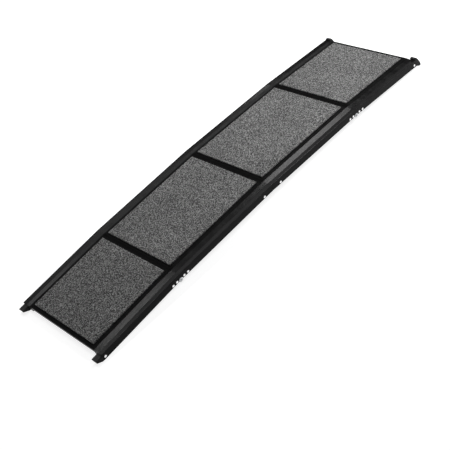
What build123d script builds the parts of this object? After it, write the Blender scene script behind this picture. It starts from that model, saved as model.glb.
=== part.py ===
from build123d import *
import os
from math import atan2, degrees, radians, sqrt, tan

# Folding dog ramp, in millimetres: four carpeted panels in a row between channel rails.
# X runs across the ramp, Y along it from the ground end to the vehicle end, Z up.
# It stands unfolded on a floor, with the origin on the floor under its middle.

# Carpet and the bare deck that shows around it
carpet_width = 312.0
inner_carpet_length = 397.0
outer_carpet_length = 303.0
carpet_thick = 5.5
side_margin = 15.0
mid_margin = 13.5
hinge_margin = 12.6
end_margin = 13.5

# Deck sheet
deck_thick = 3.0
deck_side_clear = 0.2
deck_end_clear = 0.5

# Rails: channels open underneath, with a rebate that the deck lies in and a shallow gutter
# on top, which has grip ribs down its inner slope
panel_height = 29.5
rail_width = 37.3
rail_wall = 2.0
rebate_width = 3.0
inner_edge_drop = 0.3
inner_edge_round = 0.7
gutter_setback = 19.5
gutter_drop = 3.2
rib_count = 5
rib_height = 0.45
rib_width = 1.3
outer_edge_drop = 0.2
outer_edge_round = 1.6

# Unfolded, each panel leans by the camber against its neighbour, and the rail ends butt
camber = 2.8
stop_gap = 0.15
mid_joint_relief = 1.2

# Cross bars under the deck
bar_width = 25.0
bar_height = 9.0
bar_wall = 2.0
bar_end_clear = 2.0
bar_rivet_head_radius = 3.2

# Rivets
rivet_line = 5.2
rivet_radius = 2.4
rivet_head_radius = 4.2
rivet_dome = 1.7
rivet_tail_radius = 3.2
rivet_tail_thick = 1.5

# Hinge straps and pins of the two outer joints
hinge_drop = 1.0
strap_thick = 2.5
strap_height = 9.0
strap_base = 0.8
strap_reach = 39.0
strap_corner = 3.0
strap_eye_radius = 8.0
eye_wall_clear = 0.4
eye_side_clear = 0.3
eye_notch_clear = 0.8
jog_clear = 0.8
first_strap_rivet = 15.6
strap_rivet_pitch = 16.4
pin_radius = 3.0
pin_head_radius = 5.5
pin_head_thick = 2.2
pin_clear = 0.05

# Link bars of the middle joint
link_setback = 39.0
link_height = 10.0
link_thick = 4.0
link_side_clear = 0.3

# Feet: toes that rise at the ground end and drop at the vehicle end
foot_width = 23.5
foot_edge_drop = 4.0
foot_edge_width = 3.0
plug_length = 26.0
plug_base = 1.0
plug_top_clear = 0.6
plug_side_clear = 0.8
nest_clear = 1.5
nest_line = 0.5
foot_rivet_setback = 9.0
foot_rivet_height = 8.0
foot_rivet_depth = 10.0
ground_toe = 23.5
ground_flat = 4.0
ground_drop = 0.8
ground_tip_low = 11.5
ground_tip_high = 17.2
ground_top = 17.8
vehicle_toe = 28.0
vehicle_flat = 7.0
vehicle_drop = 10.0
vehicle_tip_high = -5.5
vehicle_top = 27.5
vehicle_top_length = 9.0

# Places that follow from the sizes above
inner_length = mid_margin + inner_carpet_length + hinge_margin
outer_length = hinge_margin + outer_carpet_length + end_margin
deck_top = panel_height - carpet_thick
deck_bottom = deck_top - deck_thick
rail_edge = carpet_width / 2 + side_margin
rail_inside = rail_edge - rebate_width
rail_outside = rail_edge + rail_width
rail_top = deck_top - inner_edge_drop
gutter_top = rail_top - gutter_drop
wall_inside = rail_outside - rail_wall
mitre = tan(radians(camber / 2))
pivot_offset = (panel_height + hinge_drop) * mitre
strap_inside = wall_inside - strap_thick
bar_top = deck_bottom
bar_bottom = bar_top - bar_height

# Frames of the vehicle-side panels: the two panels nearest the middle meet at Y = 0
# with their carpet tops, and the ground side is the mirror image
middle_joint = Rot(-camber / 2, 0, 0)
outer_joint = middle_joint * Pos(0, inner_length, 0) * Rot(-camber, 0, 0)
panel_frame = {
    "inner": middle_joint * Pos(0, 0, -panel_height),
    "outer": outer_joint * Pos(0, 0, -panel_height),
}


def point_of(kind, y, z):
    """Place of a panel's own (y, z), before the ramp is set level."""
    return (panel_frame[kind] * Pos(0, y, z)).position


# The feet touch the floor at these points, so the line between them is level
ground_contact = point_of("outer", outer_length, -ground_drop)
vehicle_contact = point_of("outer", outer_length + vehicle_toe, -vehicle_drop)
contact_span = ground_contact.Y + vehicle_contact.Y
level = degrees(atan2(ground_contact.Z - vehicle_contact.Z, contact_span))
ground_slope = tan(radians(1.5 * camber + level))
vehicle_slope = tan(radians(1.5 * camber - level))
levelled = Rot(level, 0, 0)
floor = (levelled * Pos(0, vehicle_contact.Y, vehicle_contact.Z)).position.Z
ground_tip = point_of("outer", outer_length + ground_toe, ground_tip_high)
vehicle_tip = point_of("outer", outer_length + vehicle_toe, vehicle_tip_high)
ground_reach = (levelled * Pos(0, -ground_tip.Y, ground_tip.Z)).position.Y
vehicle_reach = (levelled * Pos(0, vehicle_tip.Y, vehicle_tip.Z)).position.Y
stand = Pos(0, -(ground_reach + vehicle_reach) / 2, -floor) * levelled


def prism_along_x(outline, x_from, x_to):
    """Solid with an outline of (y, z) points."""
    face = Face(Wire.make_polygon([(x_from, y, z) for y, z in outline]))
    return Solid.extrude(face, Vector(x_to - x_from, 0, 0))


def prism_along_y(outline, y_from, y_to):
    """Solid with an outline of (x, z) points."""
    face = Face(Wire.make_polygon([(x, y_from, z) for x, z in outline]))
    return Solid.extrude(face, Vector(0, y_to - y_from, 0))


def prism_along_z(outline, z_from, z_to):
    """Solid with an outline of (x, y) points."""
    face = Face(Wire.make_polygon([(x, y, z_from) for x, y in outline]))
    return Solid.extrude(face, Vector(0, 0, z_to - z_from))


def block(x, y, z):
    """Box between two limits on each axis."""
    size = (x[1] - x[0], y[1] - y[0], z[1] - z[0])
    return Pos(x[0], y[0], z[0]) * Box(*size, align=(Align.MIN, Align.MIN, Align.MIN))


def rod(x_from, x_to, y, z, radius):
    """Round bar along X."""
    return Solid.make_cylinder(radius, x_to - x_from, Plane((x_from, y, z), z_dir=(1, 0, 0)))


def rivet(y, z, inside, outside, shank=rivet_radius, tail=rivet_tail_radius, head=rivet_head_radius):
    """Rivet along X: a domed head at the outside, a flat tail at the inside."""
    dome_radius = (head**2 + rivet_dome**2) / (2 * rivet_dome)
    dome_centre = outside + rivet_dome - dome_radius
    half_way = head / 2
    dome_side = (dome_centre + sqrt(dome_radius**2 - half_way**2), y + half_way, z)
    corners = [
        (outside + rivet_dome, y, z),
        (inside - rivet_tail_thick, y, z),
        (inside - rivet_tail_thick, y + tail, z),
        (inside, y + tail, z),
        (inside, y + shank, z),
        (outside, y + shank, z),
        (outside, y + head, z),
    ]
    edges = [Edge.make_line(a, b) for a, b in zip(corners, corners[1:]) if a != b]
    edges.append(Edge.make_three_point_arc(corners[-1], dome_side, corners[0]))
    return Solid.revolve(Face(Wire(edges)), 360, Axis((0, y, z), (1, 0, 0)))


def rail_section():
    """Outline of the right rail in (x, z), with the edges of its top rounded."""
    gutter = rail_edge + gutter_setback
    edge_top = rail_top - outer_edge_drop
    inner_slope = gutter_drop / gutter_setback
    outer_slope = (edge_top - gutter_top) / (rail_outside - gutter)
    rebate_top = rail_top - inner_slope * rail_wall - rail_wall
    wall_top = edge_top - outer_slope * rail_wall - rail_wall

    def on_top(x, rise=0.0):
        slopes = (inner_slope * (gutter - x), outer_slope * (x - gutter))
        return x, gutter_top + max(slopes) + rise

    ribs = []
    for number in range(1, rib_count + 1):
        middle = rail_edge + gutter_setback * number / rib_count
        ribs += [on_top(middle - rib_width / 2), on_top(middle, rib_height), on_top(middle + rib_width / 2)]
    outline = [
        (rail_inside, 0),
        (rail_inside, deck_bottom),
        (rail_edge, deck_bottom),
        (rail_edge, rail_top),
        *ribs,
        (rail_outside, edge_top),
        (rail_outside, 0),
        (wall_inside, 0),
        (wall_inside, wall_top),
        (gutter, gutter_top - rail_wall),
        (rail_edge + rail_wall, rebate_top),
        (rail_edge + rail_wall, deck_bottom - rail_wall),
        (rail_inside + rail_wall, deck_bottom - rail_wall),
        (rail_inside + rail_wall, 0),
    ]
    face = Face(Wire.make_polygon([(x, 0, z) for x, z in outline]))
    rounds = {(rail_edge, rail_top): inner_edge_round, (rail_outside, edge_top): outer_edge_round}
    for (x, z), radius in rounds.items():
        face = face.fillet_2d(radius, face.vertices().sort_by_distance(Vector(x, 0, z))[:1])
    return face


def end_setback(z, relief):
    """How far a rail end stands back from the joint at a height z."""
    return stop_gap + (panel_height - z) * (mitre + tan(radians(relief)))


def rail(kind):
    """Right rail of a panel: ends cut to butt, rivet holes, and a notch that shows the hinge eye."""
    length = inner_length if kind == "inner" else outer_length
    blank = Solid.extrude(rail_section(), Vector(0, length, 0))
    low, high = -rail_wall, panel_height + rail_wall
    if kind == "inner":
        starts = [end_setback(z, mid_joint_relief) for z in (low, high)]
        ends = [length - end_setback(z, 0) for z in (low, high)]
    else:
        starts = [end_setback(z, 0) for z in (low, high)]
        ends = [length, length]
    cut = [(starts[0], low), (ends[0], low), (ends[1], high), (starts[1], high)]
    notch_radius = strap_eye_radius + eye_notch_clear
    holes = [rod(wall_inside, rail_outside, pivot_of(kind), -hinge_drop, notch_radius)]
    for y, z in strap_rivets(kind):
        holes.append(rod(strap_inside, rail_outside, y, z, rivet_radius))
    for y, z in bar_rivets(kind):
        holes.append(rod(rail_inside, rail_inside + rail_wall, y, z, rivet_radius))
    if kind == "inner":
        holes.append(rod(wall_inside, rail_outside, link_setback, rivet_line, pin_radius))
    else:
        holes.append(rod(wall_inside, rail_outside, *foot_rivet(), rivet_radius))
    return (blank & prism_along_x(cut, 0, rail_outside + rail_wall)) - holes


def carpet(kind):
    """Carpet, glued on the deck."""
    half = carpet_width / 2
    start = mid_margin if kind == "inner" else hinge_margin
    length = inner_carpet_length if kind == "inner" else outer_carpet_length
    return block((-half, half), (start, start + length), (deck_top, panel_height))


def deck(kind):
    """Deck sheet, lying in the rebates of both rails and on the cross bars."""
    half = rail_edge - deck_side_clear
    end = inner_length - deck_end_clear if kind == "inner" else outer_length
    return block((-half, half), (deck_end_clear, end), (deck_bottom, deck_top))


def bar_starts(kind):
    """Names of a panel's cross bars, and where each starts along the panel."""
    if kind == "inner":
        last = inner_length - bar_end_clear - bar_width
        return {"inner": bar_end_clear, "middle": (inner_length - bar_width) / 2, "outer": last}
    return {"inner": bar_end_clear, "outer": outer_length - bar_width}


def cross_bar(start):
    """Bar folded from sheet, open underneath, with closed ends against the rails."""
    outside = block((-rail_inside, rail_inside), (start, start + bar_width), (bar_bottom, bar_top))
    half = rail_inside - bar_wall
    along = (start + bar_wall, start + bar_width - bar_wall)
    inside = block((-half, half), along, (bar_bottom - bar_wall, bar_top - bar_wall))
    return outside - inside - rod(-rail_inside, rail_inside, *bar_rivet(start), rivet_radius)


def bar_rivet(start):
    """Where the rivets of a cross bar go through the rails' inner walls."""
    return start + bar_width / 2, (bar_bottom + bar_top - bar_wall) / 2


def bar_rivets(kind):
    """The same for all cross bars of a panel."""
    return [bar_rivet(start) for start in bar_starts(kind).values()]


def bar_fixing(y, z):
    """Right rivet of a cross bar, with its head inside the rail."""
    inside = rail_inside - bar_wall
    return rivet(y, z, inside, rail_inside + rail_wall, head=bar_rivet_head_radius)


def pivot_of(kind):
    """Where the hinge pin stands along the panel."""
    return inner_length - pivot_offset if kind == "inner" else pivot_offset


def away_from_pivot(kind):
    """Direction along the panel, away from its hinge pin."""
    return -1 if kind == "inner" else 1


def strap_rivets(kind):
    """Where the strap's two rivets go through the rail's outer wall."""
    steps = (first_strap_rivet, first_strap_rivet + strap_rivet_pitch)
    return [(pivot_of(kind) + away_from_pivot(kind) * step, rivet_line) for step in steps]


def strap(kind):
    """Right hinge strap: a bar on the rail's wall, set in at the eye to pass its partner."""
    pivot = pivot_of(kind)
    away = away_from_pivot(kind)
    eye_outside = strap_inside - eye_side_clear if kind == "inner" else wall_inside - eye_wall_clear
    eye_inside = eye_outside - strap_thick if kind == "inner" else strap_inside
    jog_start = strap_eye_radius + jog_clear
    jog_end = jog_start + wall_inside - eye_outside
    plan = [
        (wall_inside, strap_reach),
        (wall_inside, jog_end),
        (eye_outside, jog_start),
        (eye_outside, -jog_start),
        (eye_inside, -jog_start),
        (eye_inside, jog_start + eye_wall_clear),
        (strap_inside, jog_start + eye_wall_clear + strap_inside - eye_inside),
        (strap_inside, strap_reach),
    ]
    if kind == "outer":
        plan.pop(5)
    low = -hinge_drop - strap_eye_radius
    top = strap_base + strap_height
    plate = prism_along_z([(x, pivot + away * y) for x, y in plan], low, top)
    bar_ends = sorted((pivot, pivot + away * strap_reach))
    bar = block((eye_inside, wall_inside), bar_ends, (strap_base, top))
    free_end = bar.edges().filter_by(Axis.X).group_by(Axis.Y)[-1 if away > 0 else 0]
    bar = fillet(free_end, strap_corner)
    side = bar + rod(eye_inside, wall_inside, pivot, -hinge_drop, strap_eye_radius)
    bore = pin_radius + pin_clear if kind == "inner" else pin_radius
    holes = [rod(eye_inside, wall_inside, pivot, -hinge_drop, bore)]
    holes += [rod(strap_inside, wall_inside, y, z, rivet_radius) for y, z in strap_rivets(kind)]
    return (plate & side) - holes


def hinge_pin():
    """Right hinge pin, fixed in the outer panel's strap, with its head inside the rail."""
    head = strap_inside - 2 * eye_side_clear - strap_thick
    pivot = pivot_of("outer")
    shank = rod(head, wall_inside - eye_wall_clear, pivot, -hinge_drop, pin_radius)
    return shank + rod(head - pin_head_thick, head, pivot, -hinge_drop, pin_head_radius)


def link_bar():
    """Right link bar between the pivots of the two middle panels."""
    pivot = point_of("inner", link_setback, rivet_line)
    outside = wall_inside - link_side_clear
    inside = outside - link_thick
    half = link_height / 2
    bar = block((inside, outside), (-pivot.Y, pivot.Y), (pivot.Z - half, pivot.Z + half))
    for y in (-pivot.Y, pivot.Y):
        bar += rod(inside, outside, y, pivot.Z, half)
    return bar - [rod(inside, outside, y, pivot.Z, pin_radius + pin_clear) for y in (-pivot.Y, pivot.Y)]


def link_rivet():
    """Right pivot rivet of the link bar, fixed in the rail's outer wall."""
    inside = wall_inside - 2 * link_side_clear - link_thick
    return rivet(link_setback, rivet_line, inside, rail_outside, pin_radius, link_height / 2)


def foot_rivet():
    """Where the foot's rivet goes through the rail's outer wall."""
    return outer_length - foot_rivet_setback, foot_rivet_height


def foot(end):
    """Right foot: a toe on the rail's end, with a plug inside the rail."""
    ground = [
        (0, -ground_drop),
        (ground_flat, -ground_drop + ground_flat * ground_slope),
        (ground_toe, ground_tip_low),
        (ground_toe, ground_tip_high),
        (0, ground_top),
    ]
    vehicle = [
        (0, 0),
        (vehicle_toe - vehicle_flat, -vehicle_drop - vehicle_flat * vehicle_slope),
        (vehicle_toe, -vehicle_drop),
        (vehicle_toe, vehicle_tip_high),
        (vehicle_top_length, vehicle_top),
        (0, vehicle_top),
    ]
    outline = [(outer_length + y, z) for y, z in (ground if end == "ground" else vehicle)]
    top = ground_top if end == "ground" else vehicle_top
    inside = rail_outside - foot_width
    step = wall_inside - nest_clear
    reach = outer_length + max(ground_toe, vehicle_toe)
    cheek = block((step, rail_outside), (outer_length, reach), (nest_line, top))
    toe = prism_along_x(outline, inside, step)
    toe += prism_along_x(outline, step, rail_outside) & cheek
    edge = [
        (rail_outside, top),
        (rail_outside - foot_edge_width, top),
        (rail_outside, top - foot_edge_drop),
    ]
    toe -= prism_along_y(edge, outer_length, reach)
    plug_inside = rail_inside + rail_wall + rivet_dome + plug_side_clear
    plug_top = gutter_top - rail_wall - plug_top_clear
    along = (outer_length - plug_length, outer_length)
    plug = block((plug_inside, wall_inside), along, (plug_base, plug_top))
    return toe + plug - rod(wall_inside - foot_rivet_depth, wall_inside, *foot_rivet(), rivet_radius)


def foot_fixing():
    """Right rivet of a foot, driven into the plug."""
    y, z = foot_rivet()
    inside = wall_inside - foot_rivet_depth + rivet_tail_thick
    return rivet(y, z, inside, rail_outside, tail=rivet_radius)


def left(piece):
    """The same piece on the left side of the ramp."""
    return mirror(piece, about=Plane.YZ)


def both_sides(pieces):
    """One group of the right-hand pieces and their mirror images."""
    return Compound([*pieces, *[left(piece) for piece in pieces]])


def save(name, piece):
    export_step(stand * piece, f"parts/{name}.step")


def save_panel(number, kind, end):
    """Write every piece of one panel. The ground side mirrors the vehicle side."""
    pieces = {"carpet": carpet(kind), "deck": deck(kind)}
    sided = {"rail": rail(kind), "strap": strap(kind)}
    for name, start in bar_starts(kind).items():
        pieces[f"cross_bar_{name}"] = cross_bar(start)
    pieces["cross_bar_rivets"] = both_sides([bar_fixing(y, z) for y, z in bar_rivets(kind)])
    fixings = [rivet(y, z, strap_inside, rail_outside) for y, z in strap_rivets(kind)]
    pieces["strap_rivets"] = both_sides(fixings)
    if kind == "inner":
        pieces["link_rivets"] = both_sides([link_rivet()])
    else:
        pieces["foot_rivets"] = both_sides([foot_fixing()])
        sided["foot"] = foot(end)
        sided["hinge_pin"] = hinge_pin()
    for name, piece in sided.items():
        pieces[f"{name}_right"] = piece
        pieces[f"{name}_left"] = left(piece)
    for name, piece in pieces.items():
        placed = panel_frame[kind] * piece
        if end == "ground":
            placed = mirror(placed, about=Plane.XZ)
        save(f"panel_{number}_{name}", placed)


os.makedirs("parts", exist_ok=True)
panels = (("outer", "ground"), ("inner", "ground"), ("inner", "vehicle"), ("outer", "vehicle"))
for number, (kind, end) in enumerate(panels, start=1):
    save_panel(number, kind, end)
save("link_right", link_bar())
save("link_left", left(link_bar()))
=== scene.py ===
import math
import bpy
import numpy as np
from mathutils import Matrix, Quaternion, Vector


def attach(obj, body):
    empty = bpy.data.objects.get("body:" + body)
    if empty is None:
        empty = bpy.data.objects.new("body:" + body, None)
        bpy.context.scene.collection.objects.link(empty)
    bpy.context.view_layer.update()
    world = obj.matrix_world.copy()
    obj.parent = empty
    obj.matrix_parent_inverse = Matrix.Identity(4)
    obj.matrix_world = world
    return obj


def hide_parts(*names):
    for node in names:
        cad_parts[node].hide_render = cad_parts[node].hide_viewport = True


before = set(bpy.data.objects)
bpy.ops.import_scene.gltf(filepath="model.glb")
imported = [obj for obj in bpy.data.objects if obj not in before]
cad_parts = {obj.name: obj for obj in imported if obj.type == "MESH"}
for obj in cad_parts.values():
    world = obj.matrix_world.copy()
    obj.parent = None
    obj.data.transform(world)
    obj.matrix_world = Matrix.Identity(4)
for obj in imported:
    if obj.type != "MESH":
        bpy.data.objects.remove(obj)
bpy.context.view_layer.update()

# Side rails: extruded aluminium channels with grip ribs down the inner slope of a shallow gutter.
# They are powder-coated satin black, and a little paler on the ribs and rounded edges: partly rubbed
# wear, partly a painted highlight.
# The cut ends butt, and the cross bars, straps, links and feet are riveted to them.
panels = (1, 2, 3, 4)
sides = ("left", "right")
rail_black = (0.0042, 0.0042, 0.0044)
rail_dusty = (0.0080, 0.0080, 0.0080)
rail_gloss = 0.07
along_rail = (1, 90, 1)
rubbed_and_highlit_grey = (0.030, 0.030, 0.030)
mottle_size = 0.03
mottle_rough = (0.19, 0.235)
dust_start = 0.35
dust_full = 0.75
die_line_width = 0.0016
die_line_depth = 0.00001
die_line_rough = (-0.02, 0.02)
peel_size = 0.0011
peel_depth = 0.00002
rub_and_highlight_share = (0.15, 0.7)
rub_and_highlight_patch = (0.4, 0.6)
edge_lean = (0.25, 0.5)
wall_lean = (0.88, 0.98)


def material(name, **sockets):
    """A new material and its shader, with the values that are the same all over set on it."""
    made = bpy.data.materials.new(name)
    made.use_nodes = True
    shader = made.node_tree.nodes["Principled BSDF"]
    for socket, value in sockets.items():
        shader.inputs[socket.replace("_", " ")].default_value = value
    return made, shader


def node(made, kind, inputs, **settings):
    """A node in a material. Each input is a plain value or another node's output."""
    tree = made.node_tree
    new = tree.nodes.new("ShaderNode" + kind)
    for name, value in settings.items():
        setattr(new, name, value)
    for name, value in inputs.items():
        if isinstance(value, bpy.types.NodeSocket):
            tree.links.new(value, new.inputs[name])
        else:
            new.inputs[name].default_value = value
    return new


def absolute(made, value):
    """A value without its sign."""
    return node(made, "Math", {0: value}, operation="ABSOLUTE").outputs[0]


def combined(made, operation, first, second):
    """Two values put together by a Math operation."""
    return node(made, "Math", {0: first, 1: second}, operation=operation).outputs[0]


def noise(made, size, detail=2, stretch=(1, 1, 1)):
    """Noise with grains of a size in metres, stretched along an axis by a factor."""
    place = node(made, "TexCoord", {}).outputs["Object"]
    scale = [1 / factor for factor in stretch]
    squeezed = node(made, "Mapping", {"Vector": place, "Scale": scale}).outputs["Vector"]
    inputs = {"Vector": squeezed, "Scale": 1 / size, "Detail": detail}
    return node(made, "TexNoise", inputs).outputs["Fac"]


def spread(made, value, low, high, start=0.3, end=0.7):
    """A value between start and end, spread between low and high."""
    inputs = {"Value": value, "From Min": start, "From Max": end, "To Min": low, "To Max": high}
    return node(made, "MapRange", inputs).outputs["Result"]


def shades(made, value, *stops):
    """A colour for a value, from stops of (place, colour)."""
    new = node(made, "ValToRGB", {"Fac": value})
    elements = new.color_ramp.elements
    while len(elements) < len(stops):
        elements.new(0.5)
    for element, (place, colour) in zip(elements, stops):
        element.position = place
        element.color = (*colour, 1)
    return new.outputs["Color"]


def tinted(made, share, colour, other):
    """A share of another colour over a colour."""
    # A Mix node has sockets for each kind of data. These are its colour ones.
    new = node(made, "Mix", {}, data_type="RGBA")
    factor, under, over = new.inputs[0], new.inputs[6], new.inputs[7]
    made.node_tree.links.new(share, factor)
    made.node_tree.links.new(colour, under)
    over.default_value = (*other, 1)
    return new.outputs[2]


def relief(made, height, depth, below=None):
    """Relief of a depth in metres, laid over another one."""
    inputs = {"Height": height, "Distance": depth}
    if below is not None:
        inputs["Normal"] = below
    return node(made, "Bump", inputs).outputs["Normal"]


def wire(made, shader, **sockets):
    """Connect outputs to the shader's sockets."""
    for socket, output in sockets.items():
        made.node_tree.links.new(output, shader.inputs[socket.replace("_", " ")])


def edges_along(made):
    """1 on the rounded edges and ribs that run along the ramp, 0 on flat faces."""
    facing = node(made, "NewGeometry", {}).outputs["Normal"]
    lean = absolute(made, node(made, "SeparateXYZ", {"Vector": facing}).outputs["X"])
    not_level = spread(made, lean, 0, 1, *edge_lean)
    not_upright = spread(made, lean, 1, 0, *wall_lean)
    return combined(made, "MULTIPLY", not_level, not_upright)


def powder_coat(name, black, dusty, gloss, run):
    """Satin powder coat over drawn metal, whose die lines run along one axis."""
    made, shader = material(name, Specular_IOR_Level=gloss)
    mottle = noise(made, mottle_size, detail=4)
    lines = noise(made, die_line_width, detail=1, stretch=run)
    coat = shades(made, mottle, (dust_start, black), (dust_full, dusty))
    # Paler ribs and rounded edges, in patches: partly rubbed wear, partly a painted highlight along
    # them.
    patchy = spread(made, mottle, *rub_and_highlight_share, *rub_and_highlight_patch)
    rub_and_highlight = combined(made, "MULTIPLY", edges_along(made), patchy)
    mottled = spread(made, mottle, *mottle_rough)
    drawn = relief(made, lines, die_line_depth)
    wire(
        made,
        shader,
        Base_Color=tinted(made, rub_and_highlight, coat, rubbed_and_highlit_grey),
        Roughness=combined(made, "ADD", mottled, spread(made, lines, *die_line_rough)),
        Normal=relief(made, noise(made, peel_size), peel_depth, drawn),
    )
    return made


def dress(names, look):
    """Give CAD nodes a material."""
    for name in names:
        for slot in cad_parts[name].material_slots:
            slot.material = look


rail_coat = powder_coat("rail_powder_coat", rail_black, rail_dusty, rail_gloss, along_rail)
dress([f"panel_{n}_rail_{side}" for n in panels for side in sides], rail_coat)

# Cross bars: sheet aluminium folded into shallow channels under the deck, with closed ends.
# They are powder-coated like the rails, and one rivet at each end holds them between the rails.
bar_black = (0.008, 0.008, 0.008)
bar_dusty = (0.016, 0.016, 0.016)
bar_gloss = 0.08
along_bar = (90, 1, 1)
bar_coat = powder_coat("bar_powder_coat", bar_black, bar_dusty, bar_gloss, along_bar)
dress([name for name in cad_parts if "cross_bar_" in name and "rivets" not in name], bar_coat)

# Deck sheets: black plastic sheet with a fine pebbled face, scuffed paler in patches, and darkened
# near the joints with painted shade.
# Each lies on the cross bars and in the rebates of both rails, and is bonded there.
deck_black = (0.0040, 0.0040, 0.0040)
deck_worn = (0.0080, 0.0080, 0.0080)
deck_stops = ((0.4, deck_black), (0.8, deck_worn))
deck_gloss = 0.015
deck_rough = (0.5, 0.65)
pebble_size = 0.0018
pebble_depth = 0.00012
scuff_size = 0.02
hinge_y = 0.423
joint_shade_reach = 0.016
joint_shade_share = 0.25


def scaled(made, colour, share):
    """A colour made darker or paler by a share of it."""
    return node(made, "VectorMath", {0: colour, "Scale": share}, operation="SCALE").outputs[0]


deck_sheet, deck_shader = material("deck_pebbled_plastic", Specular_IOR_Level=deck_gloss)
pebbles = noise(deck_sheet, pebble_size, detail=1)
scuffed = shades(deck_sheet, noise(deck_sheet, scuff_size, detail=3), *deck_stops)
deck_place = node(deck_sheet, "TexCoord", {}).outputs["Object"]
deck_y = node(deck_sheet, "SeparateXYZ", {"Vector": deck_place}).outputs["Y"]
from_middle = absolute(deck_sheet, deck_y)
from_hinge = absolute(deck_sheet, combined(deck_sheet, "SUBTRACT", from_middle, hinge_y))
from_joint = combined(deck_sheet, "MINIMUM", from_middle, from_hinge)
# Painted shade: the deck gets darker within a short reach of each joint, down to a quarter of its
# colour.
painted_joint_shade = spread(deck_sheet, from_joint, joint_shade_share, 1, 0, joint_shade_reach)
wire(
    deck_sheet,
    deck_shader,
    Base_Color=scaled(deck_sheet, scuffed, painted_joint_shade),
    Roughness=spread(deck_sheet, pebbles, *deck_rough),
    Normal=relief(deck_sheet, pebbles, pebble_depth),
)
dress([f"panel_{n}_deck" for n in panels], deck_sheet)

# Carpets: short looped pile of dark, grey and pale yarns, cut to size and glued on the decks.
# The loops stand in close, uneven rows, each of one yarn, and the cut edges are pressed down.
loop_pitch = 0.0024
loop_depth = 0.0014
loop_uneven = 0.0005
loop_wander = 0.32
edge_press = 0.0012
yarn_dark = (0.050, 0.050, 0.050)
yarn_grey = (0.140, 0.140, 0.139)
yarn_pale = (0.44, 0.44, 0.436)
yarn_stops = ((0.2, yarn_dark), (0.55, yarn_grey), (0.95, yarn_pale))
yarn_rough = 0.95
yarn_gloss = 0.1
yarn_sheen = 0.1
fibre_size = 0.0006
fibre_depth = 0.0003
worn_patch = 0.11
worn_share = (0.92, 1.08)
shade_share = (0.45, 1.0)
shade_rise = (0.0, 0.8)
bake_room = 8
under_scale = 0.02
under_place = (0.02, 0.5)


def slab_of(name):
    """Lie of a slab: middle of its first lower edge, directions along and up, and its size."""
    corners = [v.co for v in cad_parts[name].data.vertices]
    corners = np.unique(np.round(corners, 6), axis=0)
    side = corners[corners[:, 0] > 0]
    side = side[np.argsort(side[:, 1])]
    start, end = side[:2].mean(0), side[2:].mean(0)
    width, thick = 2 * side[0, 0], np.linalg.norm(side[0] - side[1])
    length = np.linalg.norm(end - start)
    along = (end - start) / length
    up = np.array((0, -along[2], along[1]))
    base = start * (0, 1, 1) - up * thick / 2
    return base, along, up, width, length, thick


def pile(name, number):
    """Carpet as a mesh of loops: every third point of a triangular net is a loop's top."""
    base, along, up, width, length, thick = slab_of(name)
    chance = np.random.default_rng(number)
    columns = round(width / (loop_pitch / math.sqrt(3)))
    rows = round(length / (loop_pitch / 2))
    column, row = np.meshgrid(np.arange(columns + 1), np.arange(rows + 1))
    step = width / columns
    shift = np.where(row % 2 == 1, step / 2, 0)
    across = np.clip(column * step + shift, 0, width) - width / 2
    across[1::2, -1] = width / 2
    onward = row * (length / rows)
    inside = (column > 0) & (column < columns) & (row > 0) & (row < rows)
    wander = loop_wander * step * inside
    across = across + wander * chance.uniform(-1, 1, across.shape)
    onward = onward + wander * chance.uniform(-1, 1, across.shape)
    is_top = (column - row // 2 - row) % 3 == 0
    height = np.where(is_top, thick, thick - loop_depth)
    height = np.where(inside, height, thick - edge_press)
    height = height - loop_uneven * chance.uniform(0, 1, across.shape)

    # The net of triangles, the cut edge round it, and the flat back.
    spots = np.stack([across, onward, height], -1).reshape(-1, 3)
    number_of = np.arange(len(spots)).reshape(rows + 1, columns + 1)
    near, near_next = number_of[:-1, :-1], number_of[:-1, 1:]
    far, far_next = number_of[1:, :-1], number_of[1:, 1:]
    even = (np.arange(rows) % 2 == 0)[:, None] & np.ones(columns, bool)
    net = np.concatenate([
        np.stack([near, near_next, far], -1)[even],
        np.stack([near_next, far_next, far], -1)[even],
        np.stack([near, near_next, far_next], -1)[~even],
        np.stack([near, far_next, far], -1)[~even],
    ])
    rim = np.concatenate([
        number_of[0, :-1],
        number_of[:-1, -1],
        number_of[-1, :0:-1],
        number_of[:0:-1, 0],
    ])
    foot = len(spots) + np.arange(len(rim))
    walls = np.stack([rim, foot, np.roll(foot, -1), np.roll(rim, -1)], -1)
    spots = np.concatenate([spots, spots[rim] * (1, 1, 0)])
    places = base + spots[:, :1] * (1, 0, 0) + spots[:, 1:2] * along + spots[:, 2:] * up
    mesh = bpy.data.meshes.new(name + "_pile")
    mesh.from_pydata(places.tolist(), [], net.tolist() + walls.tolist() + [foot[::-1].tolist()])
    mesh.polygons.foreach_set("use_smooth", [True] * len(mesh.polygons))

    # Each loop's yarn, and how far each point rises from the bottom of the pile, which the carpet's
    # painted shade follows.
    yarn_at = chance.uniform(0, 1, len(spots))
    tops = net[is_top.reshape(-1)[net]]
    yarns = np.concatenate([yarn_at[tops], yarn_at[rim], [0.0]])
    mesh.attributes.new("yarn", "FLOAT", "FACE").data.foreach_set("value", yarns)
    full_rise = loop_depth + loop_uneven
    rise = np.clip((spots[:, 2] - thick + full_rise) / full_rise, 0, 1)
    mesh.attributes.new("rise", "FLOAT", "POINT").data.foreach_set("value", rise)

    # The layout for baking: the pile from above, with its edge round it and its back in a corner.
    outward = spots[:, :2] - (0, length / 2)
    outward[foot] *= 1 + 2 * thick / np.array((width, length))
    flat = outward / (length + bake_room * thick) + 0.5
    corner = np.empty(len(mesh.loops), int)
    mesh.loops.foreach_get("vertex_index", corner)
    laid_out = flat[corner]
    laid_out[-len(foot):] = (laid_out[-len(foot):] - 0.5) * under_scale + under_place
    mesh.uv_layers.new(name="OFBake").data.foreach_set("uv", laid_out.reshape(-1))

    made = bpy.data.objects.new(name + "_pile", mesh)
    bpy.context.scene.collection.objects.link(made)
    return made, (width, length)


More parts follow.
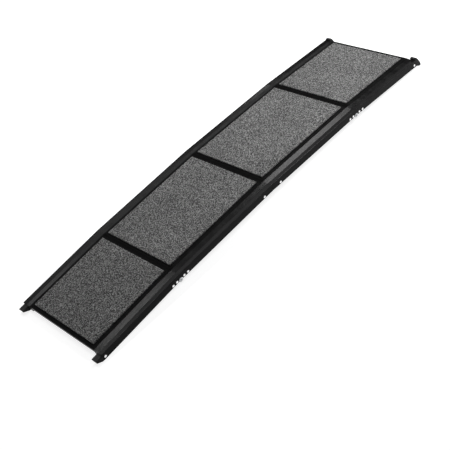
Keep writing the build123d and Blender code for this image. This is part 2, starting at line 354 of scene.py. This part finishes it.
carpet, carpet_shader = material(
    "carpet_loop_pile",
    Roughness=yarn_rough,
    Specular_IOR_Level=yarn_gloss,
    Sheen_Weight=yarn_sheen,
)
yarn = node(carpet, "Attribute", {}, attribute_name="yarn").outputs["Fac"]
rise = node(carpet, "Attribute", {}, attribute_name="rise").outputs["Fac"]
worn = spread(carpet, noise(carpet, worn_patch, detail=3), *worn_share)
# Painted shade: the yarn is darker towards the bottom of the pile, on top of worn patches that vary
# its tone at random.
worn_and_pile_shade = combined(carpet, "MULTIPLY", worn, spread(carpet, rise, *shade_share, *shade_rise))
wire(
    carpet,
    carpet_shader,
    Base_Color=scaled(carpet, shades(carpet, yarn, *yarn_stops), worn_and_pile_shade),
    Normal=relief(carpet, noise(carpet, fibre_size), fibre_depth),
)
for n in panels:
    laid, flat_size = pile(f"panel_{n}_carpet", n)
    laid.data.materials.append(carpet)
    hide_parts(f"panel_{n}_carpet")
    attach(laid, f"panel_{n}")

# Hinge straps and pins: zinc-plated steel straps inside the rails, with eyes that show in the
# notches of the rail ends. A headed pin of plain oiled steel through both eyes of a pair is the hinge.
zinc = (0.55, 0.56, 0.57)
zinc_dull = (0.40, 0.41, 0.42)
zinc_stops = ((0.35, zinc_dull), (0.65, zinc))
zinc_cloud = 0.004
zinc_grain = 0.0008
zinc_depth = 0.00002
zinc_rough = (0.26, 0.40)
along_strap = (1, 25, 1)
plated, plated_shader = material("zinc_plated_steel", Metallic=1.0)
plate_grain = noise(plated, zinc_grain, stretch=along_strap)
wire(
    plated,
    plated_shader,
    Base_Color=shades(plated, noise(plated, zinc_cloud, detail=3), *zinc_stops),
    Roughness=spread(plated, plate_grain, *zinc_rough),
    Normal=relief(plated, plate_grain, zinc_depth),
)
strap_ends = tuple(f"_strap_{side}" for side in sides)
dress([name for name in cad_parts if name.endswith(strap_ends)], plated)
pin_dark = (0.11, 0.11, 0.115)
pin_grey = (0.20, 0.20, 0.205)
pin_stops = ((0.35, pin_dark), (0.65, pin_grey))
pin_film = 0.0008
pin_depth = 0.00002
pin_rough = (0.30, 0.48)


def marked(name, size, stops, rough, depth, **sockets):
    """A finish whose colour, roughness and relief all follow marks of one size."""
    made, shader = material(name, **sockets)
    marks = noise(made, size, detail=3)
    wire(
        made,
        shader,
        Base_Color=shades(made, marks, *stops),
        Roughness=spread(made, marks, *rough),
        Normal=relief(made, marks, depth),
    )
    return made


oiled = marked("pin_oiled_steel", pin_film, pin_stops, pin_rough, pin_depth, Metallic=1.0)
dress([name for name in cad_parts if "hinge_pin" in name], oiled)

# Link bars: short painted steel bars inside the rails at the middle joint.
# Each turns on a shouldered rivet at both ends, so that the middle panels fold around a thick stack.
link_black = (0.010, 0.010, 0.010)
link_pale = (0.020, 0.020, 0.020)
link_stops = ((0.4, link_black), (0.7, link_pale))
link_gloss = 0.3
link_run = 0.004
link_depth = 0.00004
link_rough = (0.3, 0.45)
link_paint = marked(
    "link_black_paint", link_run, link_stops, link_rough, link_depth, Specular_IOR_Level=link_gloss
)
dress([f"link_{side}" for side in sides], link_paint)

# Rivets: bright aluminium, domed outside and set flat inside.
# They hold the straps, cross bars and feet to the rails, and the links turn on four of them.
bright = (0.86, 0.86, 0.86)
bright_dull = (0.66, 0.66, 0.67)
bright_stops = ((0.35, bright_dull), (0.6, bright))
set_mark = 0.0012
set_depth = 0.00002
bright_rough = (0.18, 0.32)
rivet_metal = marked(
    "rivet_bright_aluminium", set_mark, bright_stops, bright_rough, set_depth, Metallic=1.0
)
dress([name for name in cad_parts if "rivets" in name], rivet_metal)

# Feet: black moulded plastic toes, plugged into the rail ends and riveted there.
# The mould has left a fine leathery grain on them.
foot_black = (0.0055, 0.0055, 0.0055)
foot_scuffed = (0.0130, 0.0130, 0.0130)
foot_stops = ((0.45, foot_black), (0.8, foot_scuffed))
foot_gloss = 0.12
foot_scuff = 0.006
foot_rough = (0.42, 0.56)
foot_grain = 0.0009
foot_depth = 0.00006
foot_plastic, foot_shader = material("foot_moulded_plastic", Specular_IOR_Level=foot_gloss)
foot_scuffs = noise(foot_plastic, foot_scuff, detail=4)
wire(
    foot_plastic,
    foot_shader,
    Base_Color=shades(foot_plastic, foot_scuffs, *foot_stops),
    Roughness=spread(foot_plastic, foot_scuffs, *foot_rough),
    Normal=relief(foot_plastic, noise(foot_plastic, foot_grain, detail=1), foot_depth),
)
dress([f"panel_{n}_foot_{side}" for n in (panels[0], panels[-1]) for side in sides], foot_plastic)

# Floor and world: a pale floor that keeps a soft shadow and fades to white, in a white studio.
# Both look white to the camera and in reflections, and light the ramp at a plain level.
# High up behind the vehicle end the studio is dim, so that the rails there mirror less white.
floor_half = 12.0
floor_pale = (0.42, 0.42, 0.42, 1)
floor_rough = 0.9
floor_lift = 0.84
shadow_reach = 1.0
white_reach = 2.4
white = (1, 1, 1, 1)
world_level = 0.06
dim_level = 0.15
dim_onward = (0.475, 0.60)
dim_left = (0.0, -0.3)
dim_high = (0.12, 0.25)


def seen_ray(made):
    """1 for what the camera sees straight, in a reflection or through glass, else 0."""
    path = node(made, "LightPath", {})
    seen = path.outputs["Is Camera Ray"]
    for ray in ("Is Glossy Ray", "Is Transmission Ray"):
        seen = combined(made, "MAXIMUM", seen, path.outputs[ray])
    return seen


floor_mesh = bpy.data.meshes.new("floor")
floor_corners = [Vector((x, y, 0)) * floor_half for x, y in ((-1, -1), (1, -1), (1, 1), (-1, 1))]
floor_mesh.from_pydata(floor_corners, [], [(0, 1, 2, 3)])
floor = bpy.data.objects.new("floor", floor_mesh)
bpy.context.scene.collection.objects.link(floor)
floor_paint, floor_shader = material(
    "pale_floor",
    Base_Color=floor_pale,
    Roughness=floor_rough,
    Specular_IOR_Level=0.0,
    Emission_Color=white,
)
floor_place = node(floor_paint, "TexCoord", {}).outputs["Object"]
from_ramp = node(floor_paint, "VectorMath", {0: floor_place}, operation="LENGTH").outputs["Value"]
lift = spread(floor_paint, from_ramp, floor_lift, 1, shadow_reach, white_reach)
seen_lift = combined(floor_paint, "MULTIPLY", seen_ray(floor_paint), lift)
wire(floor_paint, floor_shader, Emission_Strength=seen_lift)
floor.data.materials.append(floor_paint)

world = bpy.data.worlds.new("studio")
bpy.context.scene.world = world
world.use_nodes = True
backdrop = world.node_tree.nodes["Background"]
backdrop.inputs["Color"].default_value = white
level = spread(world, seen_ray(world), world_level, 1, 0, 1)
sight = node(world, "TexCoord", {}).outputs["Generated"]
towards = node(world, "SeparateXYZ", {"Vector": sight}).outputs
dim = spread(world, towards["Y"], 0, 1 - dim_level, *dim_onward)
for axis, limits in (("X", dim_left), ("Z", dim_high)):
    dim = combined(world, "MULTIPLY", dim, spread(world, towards[axis], 0, 1, *limits))
left_bright = combined(world, "SUBTRACT", 1, dim)
wire(world, backdrop, Strength=combined(world, "MULTIPLY", level, left_bright))

# Lamps: softboxes of a studio. Three hang high over the left side and a small one stands far left,
# and these shine in the rails. One stands right of the vehicle end, so the light falls off from there.


def softbox(name, place, aim, size, power):
    """A rectangular lamp of a size in metres and a power in watts, aimed at a point."""
    lamp = bpy.data.lights.new(name, "AREA")
    lamp.shape = "RECTANGLE"
    lamp.size, lamp.size_y = size
    lamp.energy = power
    made = bpy.data.objects.new(name, lamp)
    made.location = place
    made.rotation_euler = (Vector(aim) - Vector(place)).to_track_quat("-Z", "Y").to_euler()
    bpy.context.scene.collection.objects.link(made)


softbox("softbox_vehicle_end", (-0.7, 1.3, 1.6), (0, 0.35, 0), size=(0.5, 0.7), power=21)
softbox("softbox_ground_end", (-0.6, -0.35, 1.6), (0, -0.55, 0), size=(0.5, 0.16), power=7.2)
softbox("softbox_right", (0.9, 0.8, 1.1), (0, 0.5, 0), size=(0.5, 0.5), power=15.5)
softbox("softbox_high_left", (-1.28, -0.05, 1.6), (-0.2, -0.45, 0), size=(1.4, 0.3), power=3.6)
softbox("softbox_left", (-2.7, -0.3, 1.0), (-0.2, -0.65, 0), size=(0.4, 0.4), power=1.5)

# Camera: above and to the right of the ground end, some way off with a long lens.
# It is rolled, as the ramp is shown leaning.
camera_place = Vector((2.0895, -1.3293, 1.8287))
camera_aim = Vector((0.1746, -0.1928, 0.0400))
camera_roll = math.radians(-22.19)
camera_lens = 74.10
camera_sensor = 36
camera_data = bpy.data.cameras.new("camera")
camera_data.lens = camera_lens
camera_data.sensor_width = camera_sensor
camera = bpy.data.objects.new("camera", camera_data)
camera.location = camera_place
camera.rotation_mode = "QUATERNION"
camera_turn = (camera_aim - camera_place).to_track_quat("-Z", "Y")
camera.rotation_quaternion = camera_turn @ Quaternion((0, 0, 1), camera_roll)
bpy.context.scene.collection.objects.link(camera)
bpy.context.scene.camera = camera
bpy.context.scene.view_settings.view_transform = "Standard"
